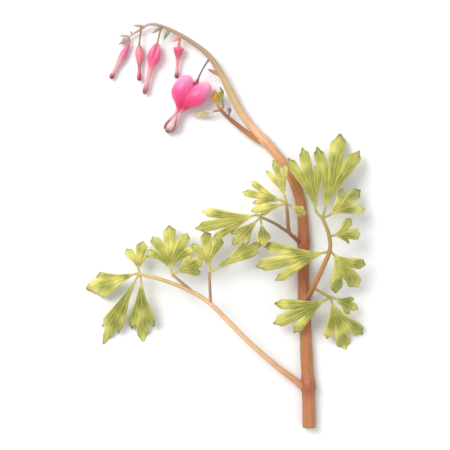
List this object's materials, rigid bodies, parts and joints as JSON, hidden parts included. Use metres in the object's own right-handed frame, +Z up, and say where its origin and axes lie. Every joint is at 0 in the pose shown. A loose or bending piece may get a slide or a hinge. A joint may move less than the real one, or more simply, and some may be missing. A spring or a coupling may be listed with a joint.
{
  "type": "bleeding heart flower stem",
  "caption": "Arching leafy flower stem, cut and lying down, with one open heart-shaped flower and younger buds hanging in a row from its tip.",
  "frame": {"origin": "on the surface the stem lies on, under the middle of its box", "axes": "+Y runs from the cut end towards the flowers, +Z up from the surface, +X to the side away from the spray's tip"},
  "size_m": [0.1102, 0.1608, 0.017],
  "materials": {
    "stem_skin": "smooth living stem, satin",
    "young_leaf": "soft young leaf, satin",
    "leaf_green": "soft leaf, low sheen",
    "petal_pink": "waxy petal, satin",
    "petal_white": "waxy petal, satin",
    "bud_pink": "waxy bud, satin"
  },
  "bodies": {
    "root": {"main_stem": "stem_skin", "side_shoot": "young_leaf", "leaf_left": "leaf_green", "leaf_middle": "leaf_green", "leaf_right": "leaf_green", "open_heart_left_petal": "petal_pink", "open_heart_right_petal": "petal_pink", "open_heart_inner_petals": "petal_white", "young_heart_left_petal": "petal_pink", "young_heart_right_petal": "petal_pink", "tight_bud": "bud_pink", "slim_bud": "bud_pink", "end_bud": "bud_pink"}
  },
  "joints": []
}
